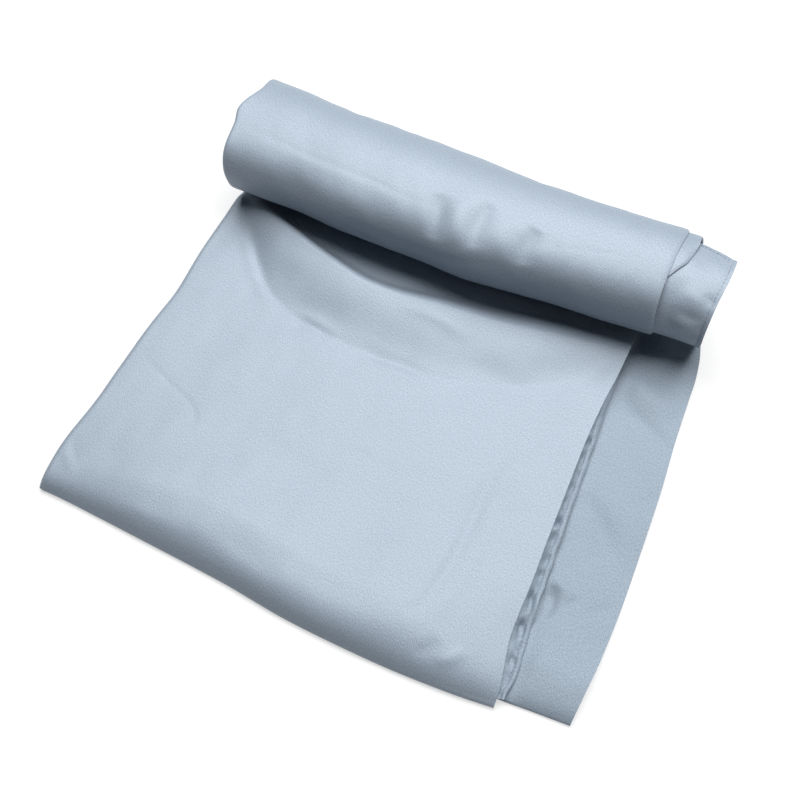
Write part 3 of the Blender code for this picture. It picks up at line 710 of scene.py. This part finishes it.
def inner_surface(u, v):
    """One sheet doubled round a fold at the left, a little lower below the margin."""
    away, turn = hairpin(u)
    y = mix(0.0, UNDER_BACK - INNER_BACK, v)
    left = smooth_table(LEFT_FOLD, y) + INNER_LEFT
    right = np.where(turn > 1.5, *INNER_RIGHT_ENDS) + waves_of(y, y * 0.0, INNER_WAVES)
    x = mix(left, right, away)
    y = mix(smooth_table(FRONT_FOLD, x) + INNER_FRONT, UNDER_BACK - INNER_BACK, v)
    low = np.full(x.shape, INNER_LOW)
    high = panel_top(x, y) - INNER_SINK - 1.2 * (x > MARGIN_LEFT - 8.0)
    high = np.maximum(high, low + INNER_THICKNESS)
    middle, half = (high + low) / 2.0, (high - low) / 2.0
    return x - 3.0 * np.sin(turn), y, middle + half * np.cos(turn)


inner_sheet = make_sheet("folded_inside", 90, 70, inner_surface, "folded_core", inwards=True)
dress(inner_sheet, "satin_back")

# %% [markdown]
# The roll is an oval in section, flattened where it lies on the stack. Its outer layer comes up
# behind from the table, over the top and down the front, and at the left it is turned in round
# the edge. Three soft dents, as if pressed by fingers, rise from its shaded front, and a fine
# crease runs along its left half.

# %% The oval of the roll
ROLL_CENTRE_Z, ROLL_HALF_HEIGHT, ROLL_TUCK_Z = 42.0, 34.0, 10.2
ROLL_SECTIONS = ((-12, 51.0, 322.0), (0, 51.0, 321.7), (50, 48.8, 319.6), (100, 49.8, 316.6),
                 (145, 49.6, 315.6), (194, 48.9, 313.0), (238, 46.4, 314.4), (290, 44.2, 315.6),
                 (335, 44.0, 317.6), (380, 44.0, 318.0))                # x, half depth, centre y
BACK_EASE = ((-12, 1.8), (60, 2.6), (120, 2.6), (170, 1.9), (240, 3.9), (320, 3.0),
             (380, 1.0))                # how much its back is flattened: x, depth
BACK_EASE_AT, BACK_EASE_WIDTH = 20.0, 24.0          # angles


def roll_place(x, angle, inset, step_width=0.001):
    """A place on the roll, a given depth below its outer side: 0 is its back, 90 its top.

    It rests on the table behind and on the stack in front, with a step of a given width."""
    from_back = np.mod(angle - BACK_EASE_AT + 180.0, 360.0) - 180.0
    inset = inset + smooth_table(BACK_EASE, x) * hump(from_back, 0.0, BACK_EASE_WIDTH)
    half_depth = smooth_table(ROLL_SECTIONS, x, 1) - inset
    centre_y = smooth_table(ROLL_SECTIONS, x, 2)
    turn = np.radians(angle)
    on_stack = ease(0.5 - np.cos(turn) / step_width)
    half_height = np.where(np.sin(turn) >= 0.0, ROLL_HALF_HEIGHT,
                           ROLL_CENTRE_Z - ROLL_TUCK_Z * on_stack)
    return (x, centre_y + half_depth * np.cos(turn),
            ROLL_CENTRE_Z + (half_height - inset) * np.sin(turn))


# Creases of the roll: height, width, line of x and distance round it from its top
ROLL_CREASES = (
    (-2.2, 6.8, ((164, 13), (167, 22), (169, 31), (171, 42))),
    (-2.3, 6.8, ((200, 7), (198, 17), (198, 27), (201, 38))),
    (-2.0, 6.5, ((238, 15), (236, 23), (235, 31), (237, 40))),
    (1.1, 6.5, ((184, 8), (182, 18), (184, 28), (188, 40))),
    (1.1, 7.0, ((222, 12), (216, 22), (217, 32), (221, 44))),
    (-0.20, 1.3, ((8, 18), (22, 18.6), (60, 20.4), (110, 20.3), (143, 22.6), (170, 21.3))),
    (0.20, 3.0, ((14, 24), (60, 25), (110, 25), (140, 28))),
    (-0.5, 4.0, ((104, 53), (140, 56), (170, 56), (200, 50), (218, 46))),
    (0.4, 5.0, ((100, 63), (150, 66), (200, 61), (240, 56))),
    (-0.12, 1.8, ((236, 25), (260, 21), (284, 17), (314, 12))),
    (-0.8, 9.0, ((40, 34), (60, 44), (84, 56))),
    (0.5, 8.0, ((92, 34), (110, 42), (128, 50))),
    (-1.2, 7.0, ((60, -60), (68, -46), (78, -30))),
    (-1.1, 6.0, ((120, -66), (126, -50), (136, -36))),
    (-1.3, 8.0, ((214, -62), (222, -46), (226, -28))),
    (0.8, 7.0, ((90, -62), (98, -46), (108, -30))),
    (-0.5, 2.4, ((150, -44), (200, -40), (260, -46), (310, -42))),
    (-0.4, 2.0, ((20, -90), (70, -94), (130, -88), (180, -92))),
    (0.9, 9.0, ((262, -80), (280, -60), (296, -44))),
)


ROLL_SHOULDER = ((36, 16, 3.0), (70, 14, -1.8))     # distance from the top, length, height
ROLL_RADIUS = 41.0          # its mean radius
FREE_BEHIND, FREE_BEFORE = -84.0, 236.0             # angles between which it lies free


def round_from_top(angle):
    """Distance round the roll from its top, towards the front."""
    return np.radians(angle - 90.0) * ROLL_RADIUS


def off_table(angle):
    """0 where the roll rests on the table behind, 1 where its back is free."""
    return ease((angle - FREE_BEHIND) / 40.0)


def roll_relief(x, angle):
    """Creases and waves, and a shoulder below which the front turns quickly into shade."""
    s = round_from_top(angle)
    waves = 0.35 * slow_waves(x, s * 0.6, 46.0, 41) + 0.06 * slow_waves(x * 1.3, s, 13.0, 42)
    free = np.minimum(off_table(angle), ease((FREE_BEFORE - angle) / 30.0))
    return (creases(x, s, ROLL_CREASES) + waves + bumps(s, ROLL_SHOULDER)) * free


print(len(ROLL_CREASES), "creases on the roll")

# %% [markdown]
# The outer layer goes round most of the oval. A short flat strip joins it to the table behind.
# Its left end is a rounded lip that turns in, and its right end is a hemmed rim that bends
# slightly down to the next layer. Neither end is straight: both wander by a few millimetres.

# %% The roll's outer layer
LEFT_LIP, LIP_TURN, LIP_COLUMNS = 3.2, math.radians(130.0), 10
RIM_CURL, CURL_LENGTH = 0.8, 1.6                    # how the right rim bends to the next layer
OUTER_COLUMNS, OUTER_ROWS, FLAT_ROWS = 190, 165, 6.0
OUTER_START, OUTER_END = -90.0, 250.0               # angles
ROLL_LEFT_END = ((-90, -1), (0, -3), (40, -4), (68, -1.5), (98, -7), (115, -3.6), (142, -2.6),
                 (172, -0.8), (205, 0.4), (250, 2))                        # angle, x
ROLL_RIGHT_END = ((-90, 331), (0, 333), (51, 334), (97, 331.8), (134, 332), (172, 334.4),
                  (208, 335.4), (250, 335))


def outer_surface(u, v):
    """From the table behind the roll, over its top and down its front, lip at the left."""
    lip_share = LIP_COLUMNS / (LIP_COLUMNS + OUTER_COLUMNS)
    row = v * OUTER_ROWS
    angle = mix(OUTER_START, OUTER_END,
                np.clip((row - FLAT_ROWS) / (OUTER_ROWS - FLAT_ROWS), 0.0, 1.0))
    left, right = smooth_table(ROLL_LEFT_END, angle), smooth_table(ROLL_RIGHT_END, angle)
    turn = LIP_TURN * np.clip(1.0 - u / lip_share, 0.0, 1.0)
    across = np.clip((u - lip_share) / (1.0 - lip_share), 0.0, 1.0)
    x = np.where(turn > 0.0, left + LEFT_LIP * (1.0 - np.sin(turn)),
                 mix(left + LEFT_LIP, right, across))
    curl = RIM_CURL * np.exp(-(right - x) / CURL_LENGTH) * ease((angle + 40.0) / 40.0)
    inset = LEFT_LIP * (1.0 - np.cos(turn)) - roll_relief(x, angle) + curl
    x, y, z = roll_place(x, angle, inset)
    flat = np.clip(1.0 - row / FLAT_ROWS, 0.0, 1.0)
    return x, mix(y, UNDER_BACK + 0.4, flat), np.maximum(z, 0.02)


roll_sheet = make_sheet("roll_outside", LIP_COLUMNS + OUTER_COLUMNS, OUTER_ROWS, outer_surface,
                        "roll_outer", inwards=True, hem=rim_hem)
dress(roll_sheet, "satin_face")

# %% [markdown]
# At the right end the layers stop one after another. The second shows a slanting edge that
# leaves a small dark hollow below its lifted corner. The third is the widest layer, which ends
# on top in the stole's own short hem and carries the long hem along its right edge.

# %% The second and the widest layer
SECOND_LEFT, SECOND_END, SECOND_INSET = 290.0, 176.0, 1.6       # x, angle, depth in the roll
SECOND_CORNER, CORNER_WIDTH = 58.0, 14.0            # angles of its lifted corner
CORNER_FLARE, FLARE_LENGTH = 0.9, 7.0
SECOND_CURL, SECOND_CURL_LENGTH = 1.1, 1.8
SECOND_WAVES = ((0.35, 24.0, 51),)                  # height, length, seed
SECOND_RIGHT_END = ((-84, 344), (0, 346), (40, 344), (51, 343.6), (72, 343.8), (95, 341),
                    (106, 336.4), (116, 332), (130, 325), (176, 318))
WIDE_RIGHT_END = ((56, 371.8), (72, 371.8), (96, 371.4), (128, 369.3), (156, 368.8),
                  (197, 369.4), (250, 368.2))
WIDE_TOP_END = ((292, 58), (345, 58), (358, 64), (372, 72))             # x, angle
WIDE_LEFT, WIDE_TOP_RIGHT, WIDE_END = 292.0, 371.8, 253.0       # x, x, angle
WIDE_INSET = ((72, 4.2), (110, 3.2), (250, 3.0))                # angle, depth in the roll
WIDE_WAVES, WIDE_PUCKER = ((0.22, 22.0, 52), (0.08, 9.0, 53)), ((0.14, 7.0, 54),)
WIDE_BEAD, WIDE_GROOVE, WIDE_SHOULDER = 0.5, 0.3, 0.6
END_HEM_PARTS = 32.0        # its end hem takes one part in this many of its length
WIDE_CREASES = (
    (-1.0, 4.5, ((342, 38), (350, 41), (358, 42), (366, 40))),
    (0.7, 5.0, ((346, 49), (354, 51), (364, 50))),
    (0.8, 7.0, ((344, 24), (353, 27), (362, 30))),
    (-0.9, 5.0, ((336, 18), (339, 32), (341, 48), (342, 60))),
    (-0.6, 3.5, ((359, 22), (365, 26), (370, 28))),
    (-0.5, 4.5, ((350, 64), (358, 62), (368, 60))),
)


def second_surface(u, v):
    """Lifted at its corner, and curled in along the rest of its slanting edge."""
    angle = mix(FREE_BEHIND, SECOND_END, v)
    edge = smooth_table(SECOND_RIGHT_END, angle)
    x = mix(SECOND_LEFT, edge, u)
    corner = hump(angle, SECOND_CORNER, CORNER_WIDTH)
    flare = CORNER_FLARE * corner * np.exp(-(edge - x) / FLARE_LENGTH)
    flare = flare - SECOND_CURL * (1.0 - corner) * np.exp(-(edge - x) / SECOND_CURL_LENGTH)
    waves = waves_of(x, round_from_top(angle), SECOND_WAVES) * off_table(angle)
    past_rim = ease((x - 330.0) / 12.0)
    return roll_place(x, angle, SECOND_INSET - (flare + waves) * past_rim)


second_sheet = make_sheet("roll_second_layer", 56, 150, second_surface, "roll_second",
                          inwards=True, hem=rim_hem)
dress(second_sheet, "satin_face")


def wide_surface(u, v):
    """From its short hem on top of the roll down to the strip, with a beaded right edge."""
    top_end = smooth_table(WIDE_TOP_END, mix(WIDE_LEFT, WIDE_TOP_RIGHT, u))
    angle = mix(top_end, WIDE_END, v)
    edge = smooth_table(WIDE_RIGHT_END, angle)
    x = mix(WIDE_LEFT, edge, u)
    s = round_from_top(angle)
    past_rim = ease((x - 334.0) / 14.0)
    bead = WIDE_BEAD * hump(edge - x, 0.9, 1.3) - WIDE_GROOVE * hump(edge - x, 3.1, 0.7)
    pucker = waves_of(s, s * 0.0, WIDE_PUCKER) * np.exp(-(edge - x) / 4.0)
    shoulder = WIDE_SHOULDER * bumps(s, ROLL_SHOULDER)
    relief = waves_of(x, s, WIDE_WAVES) + creases(x, s, WIDE_CREASES) + shoulder + bead + pucker
    return roll_place(x, angle, smooth_table(WIDE_INSET, angle) - relief * past_rim)


def wide_hem(u, v, x, y):
    """The long hem at the right and the short one at the top end."""
    return np.maximum(rim_hem(u, v, x, y), ease(1.0 - v * END_HEM_PARTS))


wide_sheet = make_sheet("roll_widest_layer", 70, 130, wide_surface, "roll_wide",
                        inwards=True, hem=wide_hem)
dress(wide_sheet, "satin_face")

# %% [markdown]
# Inside the roll the folded cloth winds on as a spiral. Both ends of the roll show it, so it is
# a real one: two doubled layers wound together, with round folds at the left end and loose cut
# edges at the right.

# %% The spiral inside
SPIRAL_PITCH, SPIRAL_TURNS, SPIRAL_START = 7.6, 3.3, -90.0
SPIRAL_STEP = 0.7           # how softly its rounds step from the table onto the stack
SPIRAL_LEFT, SPIRAL_RIGHT_ENDS = 9.0, (343.0, 335.0)
LEFT_RETREAT, RIGHT_RETREAT = 1.2, 3.0              # how much each round ends further in
DOUBLED, DOUBLED_TURN = 2.3, 1.2                    # thickness of a doubled layer, and its fold
# Name, depth of its first round, seed, x where its first round ends under the layers outside
SPIRALS = (("spiral_first", 3.4, 61, 284.0), ("spiral_second", 7.4, 62, 336.0))


def spiral_surface(first_inset, seed, tucked):
    """The surface of one doubled layer that winds inwards."""
    def surface(u, v):
        away, turn = hairpin(u, 0.2)
        rounds = SPIRAL_TURNS * v
        angle = SPIRAL_START + 360.0 * rounds
        wavy = 1.6 * slow_waves(angle * 0.6, angle * 0.0, 60.0, seed)
        left = SPIRAL_LEFT + wavy + LEFT_RETREAT * rounds
        right = np.where(turn < 1.5, *SPIRAL_RIGHT_ENDS) - RIGHT_RETREAT * rounds - wavy
        right = mix(right, tucked, 1.0 - ease((angle - 340.0) / 60.0))
        x = mix(left, right, away) - DOUBLED_TURN * np.sin(turn)
        inset = first_inset + SPIRAL_PITCH * rounds + DOUBLED / 2.0 * (1.0 - np.cos(turn))
        return roll_place(x, angle, inset, SPIRAL_STEP)
    return surface


for name, *shape in SPIRALS:
    spiral = make_sheet(name, 40, 330, spiral_surface(*shape), "roll_core", inwards=True)
    dress(spiral, "satin_back")

# %% [markdown]
# The hems are held by rows of running stitches. One small stitch, a short six-sided thread, is
# copied along a line on the cloth, three millimetres apart, and turned to follow it.

# %% Stitches
STITCH_LENGTH, STITCH_RADIUS, STITCH_STEP, STITCH_LIFT = 1.7, 0.20, 3.0, 0.18
BESIDE = 0.004              # share of the width by which a second line tells the cloth's slope
MARGIN_SEAM, WIDE_SEAM, END_SEAM = 0.908, 0.962, 0.025          # share of the sheet's width


def stitch_row(name, surface, u, v):
    """Stitches along a line given by its shares u and v of a sheet's surface."""
    line = np.stack(surface(u, v), 1)
    beside = np.stack(surface(u - BESIDE, v), 1) - line
    steps = np.concatenate([[0.0], np.cumsum(np.linalg.norm(np.diff(line, axis=0), axis=1))])
    bpy.ops.object.select_all(action="DESELECT")
    bpy.ops.mesh.primitive_cylinder_add(vertices=6, radius=STITCH_RADIUS * MM,
                                        depth=STITCH_LENGTH * MM)
    row = bpy.context.object
    row.name = row.data.name = name
    for at in np.arange(STITCH_STEP / 2.0, steps[-1], STITCH_STEP):
        index = min(int(np.searchsorted(steps, at)), len(line) - 1)
        along = Vector(line[index] - line[index - 1]).normalized()
        out = along.cross(Vector(beside[index])).normalized()
        out = -out if out.dot(back) < 0.0 else out
        place = Vector(line[index] - (*PLAN_CENTRE, 0.0)) + out * STITCH_LIFT
        stitch = row.copy()
        bpy.context.collection.objects.link(stitch)
        stitch.location = place * MM
        stitch.rotation_mode = "QUATERNION"
        stitch.rotation_quaternion = along.to_track_quat("Z", "Y")
        stitch.select_set(True)
    row.location = stitch.location
    row.rotation_mode = "QUATERNION"
    row.rotation_quaternion = stitch.rotation_quaternion
    bpy.ops.object.join()
    bpy.ops.object.transform_apply(location=True, rotation=True, scale=True)
    row.data.materials.append(thread)
    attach(row, "root")
    print(name, len(row.data.vertices), "points")
    return row


share = np.linspace(0.0, 1.0, 400)
margin_stitches = stitch_row("margin_stitches", margin_surface, np.full(400, MARGIN_SEAM),
                             mix(0.05, 0.74, share))
wide_stitches = stitch_row("wide_stitches", wide_surface, np.full(400, WIDE_SEAM),
                           mix(0.03, 0.80, share))
end_stitches = stitch_row("end_stitches", wide_surface, mix(0.62, 0.95, share),
                          np.full(400, END_SEAM))
